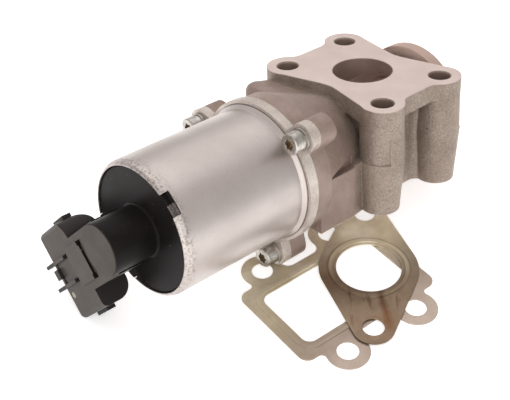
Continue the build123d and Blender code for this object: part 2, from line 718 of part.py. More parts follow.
def shell_cuts():
    """Pockets at the prongs' roots, the recess between them, and the rounded end of the shell."""
    x = SHELL_FRONT_X
    far = SHELL_BACK + SHELL_DEPTH
    half = LATCH_POCKET / 2
    cuts = shell_bar(x - RECESS_DEPTH, x, PRONG_SIDES[0], PRONG_SIDES[1], LATCH_FRONT, far - RECESS_MARGIN)
    for side in PRONG_SIDES:
        cuts += shell_bar(x - POCKET_DEPTH, x, side - half, side + half, LATCH_FRONT, PRONG_BACK)
    edge = -SHELL_LENGTH / 2
    corner = shell_bar(x - SHELL_WIDTH, x, edge, edge + SHELL_END_R, SHELL_BACK, SHELL_BACK + SHELL_END_R)
    turn = SHELL_FRAME.offset(SHELL_BACK + SHELL_END_R).location
    bar = turn * Pos(0, -edge - SHELL_END_R, 0) * Rot(0, 90, 0) * Cylinder(SHELL_END_R, 2 * SHELL_WIDTH)
    return cuts + (corner - bar)


def end_cap():
    """Moulded cap with a hollow stub, the neck, and the shell that takes the plug."""
    inner = CAP_BACK_X
    disc_r = CAN_LIP_R - 0.15
    body = turned([
        (inner, 0), (inner, PLATE_R - 0.1), (CAN_END_X - 2.4, PLATE_R - 0.1), (CAN_END_X - 2.4, disc_r),
        (CAN_END_X - 0.4, disc_r), (CAN_END_X, disc_r - 0.4), (CAN_END_X, STUB_R + STUB_FILLET),
        (CAN_END_X + 0.6, STUB_R + 0.6), (CAN_END_X + STUB_FILLET, STUB_R), (STUB_END_X - COVER_T, STUB_R),
        (STUB_END_X - COVER_T, 0),
    ])
    back = CAN_END_X + 0.6 - NOTCH_LENGTH + KEY_PLAY
    width = NOTCH_WIDTH - 2 * KEY_PLAY
    body += rim_bar(NOTCH_ANGLE, SIDE_CUT_INNER_R, KEY_R, width, back, CAN_END_X - KEY_STEP)
    lug = rim_bar(SIDE_CUT_ANGLE, SIDE_CUT_INNER_R, CAN_R + 1, SIDE_CUT_WIDTH - 2 * KEY_PLAY, back, CAN_END_X)
    body += lug & rod(CAN_R - 0.1, back, CAN_END_X)
    far = SHELL_BACK + SHELL_DEPTH
    x = SHELL_FRONT_X
    body += plug_block(0, SHELL_BACK, far)
    body -= plug_block(SHELL_WALL, SHELL_BACK + SHELL_FLOOR, far)
    body -= shell_cuts()
    body += shell_bar(x - NECK_T, x, -NECK_HALF_WIDTH, NECK_HALF_WIDTH, 0, SHELL_BACK + 2)
    body += latch_details()
    body -= plate_pockets()
    body -= rod(SENSOR_BAY_R, inner, COVER_X)
    groove = CAP_SEAL_SECTION_R + 0.1
    body -= tube(PLATE_R + 1, SEAL_CENTRE_R - CAP_SEAL_SECTION_R, CAP_SEAL_X - groove, CAP_SEAL_X + groove)
    body -= terminals()
    body -= leads()
    return body


def lead_spots():
    """Places of the two coil leads across the axis."""
    spots = []
    for side in (-1, 1):
        turn = math.radians(180 + SHELL_ANGLE + 14 * side)
        spots.append((LEAD_CIRCLE_R * math.cos(turn), LEAD_CIRCLE_R * math.sin(turn)))
    return spots


def leads():
    """Two leads from the bobbin through the rear plate into the cap."""
    bars = []
    for y, z in lead_spots():
        face = axis_plane(REAR_PLATE_BACK_X) * Pos(y, z) * Circle(LEAD_R)
        bars.append(extrude(face, amount=REAR_PLATE_T + LEAD_REACH))
    return Compound(children=bars)


def terminals():
    """Row of terminal blades, rooted in the floor of the plug shell."""
    floor = SHELL_BACK + SHELL_FLOOR
    blades = []
    for i in range(TERMINAL_COUNT):
        place = (i - (TERMINAL_COUNT - 1) / 2) * TERMINAL_PITCH
        face = SHELL_FRAME.offset(floor - TERMINAL_ROOT) * Pos(0, place) * Rectangle(TERMINAL_T, TERMINAL_W)
        blades.append(extrude(face, amount=TERMINAL_ROOT + TERMINAL_REACH))
    return Compound(children=blades)


def sensor_rod():
    """Rod that rests on the armature and runs through the fixed core."""
    return rod(ROD_R, ARMATURE_FRONT_X, ARMATURE_FRONT_X + ROD_LENGTH)


def sensor_wiper():
    """Carrier on the sensor rod, with two contact fingers over the board."""
    x1 = ARMATURE_FRONT_X + ROD_LENGTH - ROD_TAIL
    x0 = x1 - WIPER_T
    body = tube(WIPER_R, ROD_R, x0, x1)
    top = -AXIS_DROP - BOARD_DROP + BOARD_GAP
    for side in (-1, 1):
        y = side * 1.8
        body += block(x0, x1, y - 0.6, y + 0.6, top, -AXIS_DROP - ROD_R - 1)
    return body


def sensor_board():
    """Resistor board of the position sensor, held between the rear plate and the cover."""
    top = -AXIS_DROP - BOARD_DROP
    return block(CAP_BACK_X, COVER_X, -BOARD_HALF_Y, BOARD_HALF_Y, top - BOARD_T, top)


def sensor_cover():
    """Lid welded on the end of the stub."""
    lid = rod(STUB_R, COVER_X, STUB_END_X)
    return chamfer(lid.edges().group_by(Axis.X)[-1], 0.3)


GROUND = Plane(
    origin=Vector(*GROUND_NORMAL) * GROUND_OFFSET,
    x_dir=Vector(1, 0, 0) - Vector(*GROUND_NORMAL) * GROUND_NORMAL[0],
    z_dir=GROUND_NORMAL,
)


def laid(u, v, turn, height):
    """Place on the ground plane, at u and v from the foot of the origin, lifted by height."""
    return GROUND.location * Rot(0, 0, GROUND_ANGLE) * Pos(u, v, height) * Rot(0, 0, turn)


def port_gasket():
    """Rectangular sheet gasket of the lower face, with a bead round its window."""
    outline = base_outline(GASKET_LOBE_R)
    outline -= RectangleRounded(WINDOW_X, WINDOW_Y, WINDOW_CORNER_R)
    for x, y in BOLTS:
        outline -= Pos(x, y) * Circle(GASKET_HOLE_R)
    sheet = extrude(outline, amount=GASKET_T)
    inner = BEAD_MARGIN
    outer = BEAD_MARGIN + BEAD_WIDTH
    bead = RectangleRounded(WINDOW_X + 2 * outer, WINDOW_Y + 2 * outer, WINDOW_CORNER_R + outer)
    bead -= RectangleRounded(WINDOW_X + 2 * inner, WINDOW_Y + 2 * inner, WINDOW_CORNER_R + inner)
    sheet += extrude(Pos(0, 0, GASKET_T) * bead, amount=BEAD_HEIGHT)
    return laid(GASKET_CENTRE_U, GASKET_CENTRE_V, 0, 0) * sheet


def pipe_gasket():
    """Oval two-hole sheet gasket with a raised bead round its bore."""
    reach = PIPE_HOLE_SPACING / 2
    circles = Pos(0, 0) * Circle(PIPE_WAIST_R)
    edges = list(circles.edges())
    for side in (-1, 1):
        edges += (Pos(side * reach, 0) * Circle(PIPE_LOBE_R)).edges()
    outline = make_hull(edges) - Circle(INLET_R)
    for side in (-1, 1):
        outline -= Pos(side * reach, 0) * Circle(GASKET_HOLE_R)
    sheet = extrude(outline, amount=GASKET_T)
    inner = INLET_R + BEAD_MARGIN
    bead = Circle(inner + BEAD_WIDTH) - Circle(inner)
    sheet += extrude(Pos(0, 0, GASKET_T) * bead, amount=BEAD_HEIGHT)
    lift = GASKET_T + BEAD_HEIGHT
    return laid(PIPE_GASKET_CENTRE_U, PIPE_GASKET_CENTRE_V, PIPE_GASKET_ANGLE, lift) * sheet


def build_all():
    """All nodes by name."""
    nodes = {
        "valve_housing": housing(),
        "valve_seat": seat(),
        "valve_poppet": poppet(),
        "retainer_clip": clip(),
        "spring_retainer": retainer(),
        "return_spring": coil_spring(SPRING_R, SPRING_WIRE_R, RETAINER_X + RETAINER_T, JOINT_X, SPRING_TURNS),
        "armature": armature(),
        "fixed_core": fixed_core(),
        "coil_bobbin": bobbin(),
        "coil_winding": winding(),
        "front_pole_plate": front_plate(),
        "rear_pole_plate": rear_plate(),
        "solenoid_can": can(),
        "clamp_ring": ring(),
        "screw_washers": washers(),
        "can_screws": screws(),
        "end_cap": end_cap(),
        "sensor_cover": sensor_cover(),
        "stem_bush": stem_bush(),
        "stem_shield": stem_shield(),
        "guide_sleeve": guide_sleeve(),
        "can_seal": ring_seal(SEAL_R, SEAL_GROOVE - SEAL_PLAY, JOINT_X - SEAL_GROOVE),
        "cap_seal": ring_seal(SEAL_CENTRE_R, CAP_SEAL_SECTION_R - 0.03, CAP_SEAL_X),
        "coil_leads": leads(),
        "plug_terminals": terminals(),
        "sensor_rod": sensor_rod(),
        "sensor_wiper": sensor_wiper(),
        "sensor_board": sensor_board(),
        "sensor_spring": coil_spring(
            SENSOR_SPRING_R, SENSOR_SPRING_WIRE_R, ARMATURE_FRONT_X + ROD_LENGTH - ROD_TAIL, COVER_X,
            SENSOR_SPRING_TURNS,
        ),
        "port_gasket": port_gasket(),
        "pipe_gasket": pipe_gasket(),
    }
    return nodes


for name, solid in build_all().items():
    export_step(solid, f"parts/{name}.step")
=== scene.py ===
"""Looks for the exhaust gas recirculation valve: materials, springs, a pale floor, soft light and a camera.

Everything is in metres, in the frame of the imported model.
"""
import math

import bmesh
import bpy
from mathutils import Matrix, Vector

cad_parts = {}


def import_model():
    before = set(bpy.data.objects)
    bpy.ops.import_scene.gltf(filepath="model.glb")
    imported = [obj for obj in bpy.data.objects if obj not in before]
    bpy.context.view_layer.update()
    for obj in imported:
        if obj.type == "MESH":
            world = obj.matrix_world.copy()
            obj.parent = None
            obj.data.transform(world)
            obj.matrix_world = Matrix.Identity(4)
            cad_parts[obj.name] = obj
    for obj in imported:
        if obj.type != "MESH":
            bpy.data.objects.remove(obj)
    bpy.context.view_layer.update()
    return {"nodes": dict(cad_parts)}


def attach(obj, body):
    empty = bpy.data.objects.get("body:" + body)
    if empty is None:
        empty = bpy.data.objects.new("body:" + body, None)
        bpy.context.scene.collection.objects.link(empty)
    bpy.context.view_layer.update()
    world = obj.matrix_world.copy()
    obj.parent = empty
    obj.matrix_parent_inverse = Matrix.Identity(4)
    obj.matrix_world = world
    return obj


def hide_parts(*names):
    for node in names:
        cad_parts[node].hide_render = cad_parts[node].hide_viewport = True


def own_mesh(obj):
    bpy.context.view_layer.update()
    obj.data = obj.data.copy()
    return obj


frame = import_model()
nodes = frame["nodes"]

# Camera, as fitted to the photograph
CAMERA_AT = (0.31118, 0.27785, 0.18854)
CAMERA_RIGHT = (-0.7324, 0.6798, -0.0391)
CAMERA_DOWN = (0.378, 0.3581, -0.8538)
CAMERA_LENS = 73.88
SENSOR_WIDTH = 36.0
CLIP_START = 0.01

# Floor under the valve and the gaskets, and its own light for camera rays and for reflections
FLOOR_NORMAL = Vector((0.115, 0.155, 0.9812)).normalized()
FLOOR_OFFSET = -0.05674
FLOOR_HALF = 1.6
FLOOR_GLOW = 0.5
FLOOR_SHEEN = 0.8

# Surroundings: light low and high, the heights that it and the tint change between, and the tint
LOW_LIGHT = 0.72
HIGH_LIGHT = 0.66
LIGHT_HEIGHTS = (-0.1, 0.6)
TINT_HEIGHTS = (0.0, 0.5)
TINT = (1.0, 0.94, 0.925)

# Lamps
LAMP_AIM = (0.04, 0.0, -0.03)
KEY_AT = (-0.05, -0.20, 0.80)
KEY_SIZE = 1.2
KEY_POWER = 3.3
FILL_AT = (0.60, 0.66, 0.16)
FILL_SIZE = 0.9
FILL_POWER = 3.2

# Housing: machined faces, the collar behind, the neck, the bores and the chamber
TOP_Z = 0.0
BASE_Z = -0.0486
FLANGE_REACH = 0.0285
COLLAR_X = -0.0365
COLLAR_BACK_X = -0.0295
COLLAR_BLEND = 0.001
NECK_X = 0.0285
NECK_BLEND = 0.003
PORT_R = 0.013
BOLT_X = 0.01825
BOLT_Y = 0.0275
BOLT_R = 0.0045
CHAMBER_R = 0.0184
CHAMBER_FRONT_X = 0.0175
FACE_MARGIN = 0.00025
BORE_MARGIN = 0.0001

# Solenoid axis, can and screws
AXIS_Z = -0.0243
CAN_RIM_X = 0.1212
RIM_WEAR = 0.003
SCREW_CIRCLE_R = 0.0363
SCREW_TURNS = (43.5, 163.5, 283.5)
SCREW_FACE_X = 0.0701
SOCKET_R = 0.00235

# Cap and plug shell: turns go from +Y to +Z, and distances out and aside start at the solenoid axis
SHELL_FACE_X = 0.1394
COVER_FACE_X = 0.1425
SHELL_TURN = math.radians(221.0)
SHELL_START = 0.0175
SHELL_BLEND = 0.003
NUB_OUT = 0.0457
NUB_STEP = 0.001
DOT_OUT = 0.0452
DOT_ASIDE = 0.0088
DOT_R = 0.0013
NOTCH_TURN = math.radians(44.8)
BLOCK_OUT = 0.0254

# Rectangular gasket: straw yellow up to the first station, rosy from the second
STRAW_TO_ROSY = (0.030, 0.056)

# Oval gasket: its centre, the direction towards its near hole, the direction across, and its bead, with the
# stretches of the painted highlight and painted shade lines along it
OVAL_CENTRE = (0.0366, 0.0379, -0.0681)
OVAL_LONG = (0.69005, 0.69807, -0.19115)
OVAL_CROSS = (-0.71456, 0.69905, -0.02668)
BEAD_R = 0.0162
BEAD_HIGHLIGHT = (0.0004, 0.0010)
BEAD_SHADE_STEP = 0.0013
BEAD_SHADE = (0.0002, 0.0006)
BEAD_PAINT_FADES = (-0.006, 0.008)

# Marks on the oval gasket: stretches along it from its centre, or across it where the name says so
GOLD_TO_BROWN = (-0.020, 0.006)
EDGE_STARTS = (-0.033, -0.024)
EDGE_FADES = (-0.004, 0.008)
EDGE_ACROSS = (0.010, 0.0195)
RUST_STARTS = (0.010, 0.016)
RUST_FADES = (0.030, 0.036)
DARK_TO_RED_RUST = (0.014, 0.026)
STREAK_RUN = (0.014, 0.036)
STREAK_ACROSS = (0.0035, 0.0075)
STREAK_WIDTH = (0.0002, 0.0024)
STREAK_WANDER = 0.0022
WARM_ALONG = 0.032
WARM_ACROSS = 0.006
WARM_R = 0.0075
GLOSS_STRETCH = (-0.030, 0.0)
METAL_STRETCH = (-0.024, 0.004)

# Stretch of a noise that draws rings round the solenoid axis
RINGS = (1.0, 0.05, 0.05)

# Springs: points round the wire, and rings of them for each turn
WIRE_POINTS = 12
RINGS_PER_TURN = 40


class Graph:
    """Short way to write shader nodes."""

    def __init__(self, tree, coordinates):
        self.tree = tree
        self.place = self.add("ShaderNodeTexCoord").outputs[coordinates]

    def add(self, kind, **values):
        """New node; values set its properties."""
        node = self.tree.nodes.new(kind)
        for key, value in values.items():
            setattr(node, key, value)
        return node

    def link(self, source, target):
        """Link, or plain value, into a socket."""
        if isinstance(source, bpy.types.NodeSocket):
            self.tree.links.new(source, target)
        else:
            target.default_value = source

    def noise(self, scale, detail=4.0, rough=0.5, stretch=None, source=None):
        """Noise between 0 and 1 at a scale in cycles per metre; source is the place to read it at."""
        node = self.add("ShaderNodeTexNoise")
        node.inputs["Scale"].default_value = scale
        node.inputs["Detail"].default_value = detail
        node.inputs["Roughness"].default_value = rough
        if stretch:
            mapping = self.add("ShaderNodeMapping")
            self.link(self.place, mapping.inputs["Vector"])
            mapping.inputs["Scale"].default_value = stretch
            source = mapping.outputs["Vector"]
        self.link(source or self.place, node.inputs["Vector"])
        return node.outputs["Fac"]

    def ramp(self, source, low, high, start=0.0, end=1.0):
        """Value from start to end as source goes from low to high."""
        node = self.add("ShaderNodeMapRange")
        self.link(source, node.inputs["Value"])
        for socket, value in zip(("From Min", "From Max", "To Min", "To Max"), (low, high, start, end)):
            node.inputs[socket].default_value = value
        return node.outputs["Result"]

    def math(self, operation, a, b=0.0):
        """One arithmetic step."""
        node = self.add("ShaderNodeMath", operation=operation)
        self.link(a, node.inputs[0])
        self.link(b, node.inputs[1])
        return node.outputs[0]

    def plus(self, a, b):
        return self.math("ADD", a, b)

    def minus(self, a, b):
        return self.math("SUBTRACT", a, b)

    def times(self, a, b):
        return self.math("MULTIPLY", a, b)

    def larger(self, a, b):
        return self.math("MAXIMUM", a, b)

    def unsigned(self, a):
        return self.math("ABSOLUTE", a)

    def below(self, a, b):
        return self.math("LESS_THAN", a, b)

    def above(self, a, b):
        return self.math("GREATER_THAN", a, b)

    def mix(self, factor, a, b):
        """Colour between a and b."""
        node = self.add("ShaderNodeMix", data_type="RGBA")
        self.link(factor, node.inputs[0])
        self.link(a if isinstance(a, bpy.types.NodeSocket) else (*a, 1.0), node.inputs[6])
        self.link(b if isinstance(b, bpy.types.NodeSocket) else (*b, 1.0), node.inputs[7])
        return node.outputs[2]

    def blend(self, source, low, high, a, b):
        """Colour from a to b as source goes from low to high."""
        return self.mix(self.ramp(source, low, high), a, b)

    def axis(self, which):
        """One coordinate of the place."""
        node = self.add("ShaderNodeSeparateXYZ")
        self.link(self.place, node.inputs[0])
        return node.outputs[which]

    def near_plane(self, coordinate, station):
        """1 on the plane at that station, 0 elsewhere."""
        return self.below(self.unsigned(self.minus(coordinate, station)), FACE_MARGIN)

    def reach_squared(self, a, b):
        """Squared distance from a centre; a and b are each a coordinate and the centre's value of it."""
        total = 0.0
        for socket, value in (a, b):
            total = self.plus(total, self.math("POWER", self.unsigned(self.minus(socket, value)), 2.0))
        return total

    def within(self, a, b, radius):
        """1 nearer to a centre than the radius, 0 elsewhere; a and b are as in reach_squared."""
        return self.below(self.reach_squared(a, b), radius * radius)

    def out_and_aside(self, turn):
        """Distance from the solenoid axis in the direction of a turn, and the distance across it."""
        y = self.axis(1)
        z = self.minus(self.axis(2), AXIS_Z)
        out = self.plus(self.times(y, math.cos(turn)), self.times(z, math.sin(turn)))
        aside = self.minus(self.times(z, math.cos(turn)), self.times(y, math.sin(turn)))
        return out, aside

    def along(self, centre, direction):
        """Distance from a centre along a direction."""
        product = self.add("ShaderNodeVectorMath", operation="DOT_PRODUCT")
        self.link(self.place, product.inputs[0])
        product.inputs[1].default_value = direction
        return self.minus(product.outputs["Value"], Vector(centre).dot(Vector(direction)))


class Surface(Graph):
    """Nodes of one material."""

    def __init__(self, name):
        self.material = bpy.data.materials.new(name)
        self.material.use_nodes = True
        super().__init__(self.material.node_tree, "Object")
        self.shader = self.tree.nodes["Principled BSDF"]

    def bump(self, height, distance, strength, edge=None):
        """Bumped normal; edge rounds the sharp edges by that radius first."""
        node = self.add("ShaderNodeBump")
        node.inputs["Strength"].default_value = strength
        node.inputs["Distance"].default_value = distance
        self.link(height, node.inputs["Height"])
        if edge:
            bevel = self.add("ShaderNodeBevel", samples=6)
            bevel.inputs["Radius"].default_value = edge
            self.link(bevel.outputs["Normal"], node.inputs["Normal"])
        self.link(node.outputs["Normal"], self.shader.inputs["Normal"])

    def finish(self, colour, roughness, metallic=0.0, specular=0.5):
        """Fills the shader's main sockets."""
        self.link(colour, self.shader.inputs["Base Color"])
        self.link(roughness, self.shader.inputs["Roughness"])
        self.link(metallic, self.shader.inputs["Metallic"])
        self.shader.inputs["Specular IOR Level"].default_value = specular
        return self.material


def dress(material, *names):
    """Gives CAD nodes their material."""
    for name in names:
        mesh = nodes[name].data
        mesh.materials.clear()
        mesh.materials.append(material)


def cast_metal():
    """Sandy casting, smoother on the neck and the collar, with paler bores and machined faces, and with
    painted light on the collar and in the chamber.
    """
    g = Surface("cast_metal")
    x = g.axis(0)
    y = g.axis(1)
    z = g.axis(2)
    blotch = g.noise(60.0, 4.0, 0.6)
    pits = g.noise(520.0, 2.0, 0.5)
    collar = g.ramp(x, COLLAR_BACK_X + COLLAR_BLEND, COLLAR_BACK_X)
    smooth = g.larger(g.ramp(x, NECK_X, NECK_X + NECK_BLEND), collar)
    middle = 0.58
    grain = g.minus(g.noise(1350.0, 3.0, 0.6), middle)
    grain = g.plus(middle, g.times(grain, g.ramp(smooth, 0.0, 1.0, 1.0, 0.45)))
    skin = g.blend(blotch, 0.35, 0.68, (0.290, 0.228, 0.186), (0.410, 0.340, 0.286))
    skin = g.mix(g.ramp(grain, 0.36, 0.56, 0.42, 0.0), skin, (0.130, 0.092, 0.070))
    skin = g.mix(g.ramp(grain, 0.60, 0.72, 0.0, 0.36), skin, (0.620, 0.540, 0.460))
    skin = g.mix(g.ramp(pits, 0.66, 0.76, 0.0, 0.6), skin, (0.150, 0.110, 0.085))
    rosy = g.blend(blotch, 0.35, 0.68, (0.270, 0.192, 0.162), (0.365, 0.272, 0.236))
    skin = g.mix(g.times(smooth, 0.7), skin, rosy)
    # Painted light: the collar lies in shade behind the flange and is painted paler so that it looks lit.
    skin = g.mix(g.times(collar, 0.75), skin, (0.600, 0.440, 0.375))
    port = g.within((x, 0.0), (y, 0.0), PORT_R + BORE_MARGIN)
    bolts = g.within((g.unsigned(x), BOLT_X), (g.unsigned(y), BOLT_Y), BOLT_R + BORE_MARGIN)
    bores = g.larger(port, bolts)
    skin = g.mix(bores, skin, g.blend(blotch, 0.3, 0.7, (0.310, 0.225, 0.185), (0.400, 0.300, 0.255)))
    # Painted light: the chamber is painted pale, standing in for light that comes in through the window.
    chamber = g.times(g.within((y, 0.0), (z, AXIS_Z), CHAMBER_R), g.below(x, CHAMBER_FRONT_X))
    skin = g.mix(chamber, skin, (0.620, 0.500, 0.440))
    top = g.times(g.near_plane(z, TOP_Z), g.below(g.unsigned(x), FLANGE_REACH))
    faces = g.larger(top, g.larger(g.near_plane(z, BASE_Z), g.near_plane(x, COLLAR_X)))
    cut = g.blend(g.noise(70.0, 3.0, 0.5), 0.3, 0.7, (0.655, 0.545, 0.498), (0.735, 0.622, 0.570))
    worked = g.larger(faces, g.larger(bores, chamber))
    height = g.plus(g.times(grain, 0.7), g.times(pits, 0.9))
    g.bump(g.times(height, g.minus(1.0, worked)), 0.0004, 0.8, edge=0.0009)
    return g.finish(g.mix(faces, skin, cut), g.ramp(faces, 0.0, 1.0, 0.54, 0.42), 0.55)


def satin_can():
    """Drawn can with a soft satin skin, faint blotches, fine turning marks and a scuffed rim."""
    g = Surface("satin_can")
    blotch = g.noise(45.0, 5.0, 0.6)
    fine = g.noise(1400.0, 2.0, 0.5)
    turned = g.noise(500.0, 3.0, 0.6, stretch=RINGS)
    colour = g.blend(blotch, 0.3, 0.7, (0.490, 0.440, 0.416), (0.565, 0.515, 0.490))
    colour = g.mix(g.ramp(fine, 0.60, 0.72, 0.0, 0.25), colour, (0.320, 0.255, 0.220))
    rim = g.ramp(g.axis(0), CAN_RIM_X - RIM_WEAR, CAN_RIM_X, 0.0, 0.6)
    scuffs = g.times(g.ramp(g.noise(900.0, 4.0, 0.7), 0.50, 0.60), rim)
    colour = g.mix(scuffs, colour, (0.160, 0.125, 0.100))
    g.bump(g.plus(g.times(fine, 0.6), turned), 0.00006, 0.5, edge=0.0004)
    return g.finish(colour, g.ramp(blotch, 0.3, 0.7, 0.44, 0.37), 0.9)


def ring_metal():
    """Blasted light alloy of the clamp ring."""
    g = Surface("ring_metal")
    blotch = g.noise(90.0, 4.0, 0.6)
    grain = g.noise(1600.0, 2.0, 0.5)
    colour = g.blend(blotch, 0.35, 0.65, (0.500, 0.435, 0.390), (0.660, 0.600, 0.545))
    colour = g.mix(g.ramp(grain, 0.55, 0.72, 0.0, 0.5), colour, (0.200, 0.165, 0.140))
    g.bump(grain, 0.00018, 0.6, edge=0.0006)
    return g.finish(colour, g.ramp(blotch, 0.3, 0.7, 0.5, 0.4), 0.6)


def zinc_steel():
    """Zinc-plated steel of the screws and washers, with dirt in the screws' sockets."""
    g = Surface("zinc_steel")
    blotch = g.noise(300.0, 4.0, 0.6)
    fine = g.noise(2500.0, 2.0, 0.5)
    colour = g.blend(blotch, 0.35, 0.65, (0.330, 0.310, 0.275), (0.560, 0.540, 0.505))
    y = g.axis(1)
    z = g.axis(2)
    sockets = 0.0
    for angle in SCREW_TURNS:
        turn = math.radians(angle)
        screw_y = SCREW_CIRCLE_R * math.cos(turn)
        screw_z = AXIS_Z + SCREW_CIRCLE_R * math.sin(turn)
        sockets = g.larger(sockets, g.within((y, screw_y), (z, screw_z), SOCKET_R))
    sockets = g.times(sockets, g.below(g.axis(0), SCREW_FACE_X))
    dirt = g.times(sockets, g.ramp(blotch, 0.4, 0.6, 0.5, 0.95))
    colour = g.mix(dirt, colour, (0.500, 0.400, 0.290))
    g.bump(fine, 0.00005, 0.5, edge=0.00025)
    return g.finish(colour, g.ramp(blotch, 0.3, 0.7, 0.34, 0.24), 1.0)


def turned_steel(name, low, high, rough=0.3):
    """Ground or turned metal with rings round the axis."""
    g = Surface(name)
    rings = g.noise(1400.0, 3.0, 0.6, stretch=RINGS)
    stain = g.noise(120.0, 4.0, 0.6)
    g.bump(rings, 0.00004, 0.5, edge=0.0002)
    return g.finish(g.blend(stain, 0.35, 0.7, low, high), g.ramp(stain, 0.3, 0.7, rough, rough + 0.12), 1.0)


def moulded(name, rough, face_x, pale):
    """Black moulded plastic with a faint orange-peel skin, dust, and end faces beyond face_x painted pale
    as painted light.

    The plug shell is greyer and has a pale dot on its end, and the block in the can's notch is painted
    paler in a mottled pattern.
    """
    g = Surface(name)
    x = g.axis(0)
    cloud = g.noise(70.0, 4.0, 0.6)
    peel = g.noise(1100.0, 2.0, 0.5)
    specks = g.noise(650.0, 1.0, 0.4)
    colour = g.blend(cloud, 0.3, 0.7, (0.0065, 0.0053, 0.0052), (0.0125, 0.0102, 0.0100))
    colour = g.mix(g.ramp(specks, 0.75, 0.775, 0.0, 0.35), colour, (0.220, 0.200, 0.180))
    out, aside = g.out_and_aside(SHELL_TURN)
    shell = g.ramp(out, SHELL_START, SHELL_START + SHELL_BLEND, 0.0, 0.9)
    colour = g.mix(shell, colour, (0.0340, 0.0290, 0.0280))
    # Painted light: faces turned towards +X beyond face_x get the pale colour, as the lit side of the black
    # plastic; the nub is left out.
    split = g.add("ShaderNodeSeparateXYZ")
    g.link(g.add("ShaderNodeNewGeometry").outputs["Normal"], split.inputs[0])
    nub = g.times(g.above(out, NUB_OUT), g.above(x, face_x + NUB_STEP))
    face = g.times(g.ramp(split.outputs[0], 0.6, 0.9), g.minus(1.0, nub))
    face = g.times(face, g.above(x, face_x))
    dull = tuple(0.86 * c for c in pale)
    bright = tuple(1.1 * c for c in pale)
    colour = g.mix(face, colour, g.blend(g.noise(160.0, 4.0, 0.6), 0.3, 0.7, dull, bright))
    dot = g.times(face, g.within((out, DOT_OUT), (aside, DOT_ASIDE), DOT_R))
    colour = g.mix(dot, colour, (0.420, 0.400, 0.300))
    # Where aside is below zero, the block in the can's notch is painted paler in a mottled pattern.
    out, aside = g.out_and_aside(NOTCH_TURN)
    block = g.times(g.above(out, BLOCK_OUT), g.below(aside, 0.0))
    block_mottle = g.ramp(g.noise(1600.0, 2.0, 0.5), 0.35, 0.65, 0.3, 1.0)
    colour = g.mix(g.times(block, block_mottle), colour, (0.200, 0.175, 0.165))
    g.bump(peel, 0.00005, 0.6, edge=0.0002)
    return g.finish(colour, g.ramp(cloud, 0.3, 0.7, rough - 0.05, rough + 0.06), specular=0.10)


def pale_sheet():
    """Coated sheet of the rectangular gasket: straw yellow near the valve, rosier away from it."""
    g = Surface("pale_sheet")
    y = g.axis(1)
    cloud = g.noise(38.0, 4.0, 0.6)
    fine = g.noise(1500.0, 2.0, 0.5)
    straw = g.blend(cloud, 0.4, 0.62, (0.580, 0.500, 0.350), (0.860, 0.790, 0.630))
    rosy = g.blend(cloud, 0.35, 0.65, (0.370, 0.295, 0.240), (0.470, 0.385, 0.320))
    colour = g.blend(y, *STRAW_TO_ROSY, straw, rosy)
    metallic = g.ramp(y, *STRAW_TO_ROSY, 0.4, 0.7)
    g.bump(g.plus(fine, g.times(cloud, 2.0)), 0.00008, 0.6, edge=0.0003)
    return g.finish(colour, g.ramp(cloud, 0.3, 0.7, 0.36, 0.26), metallic)


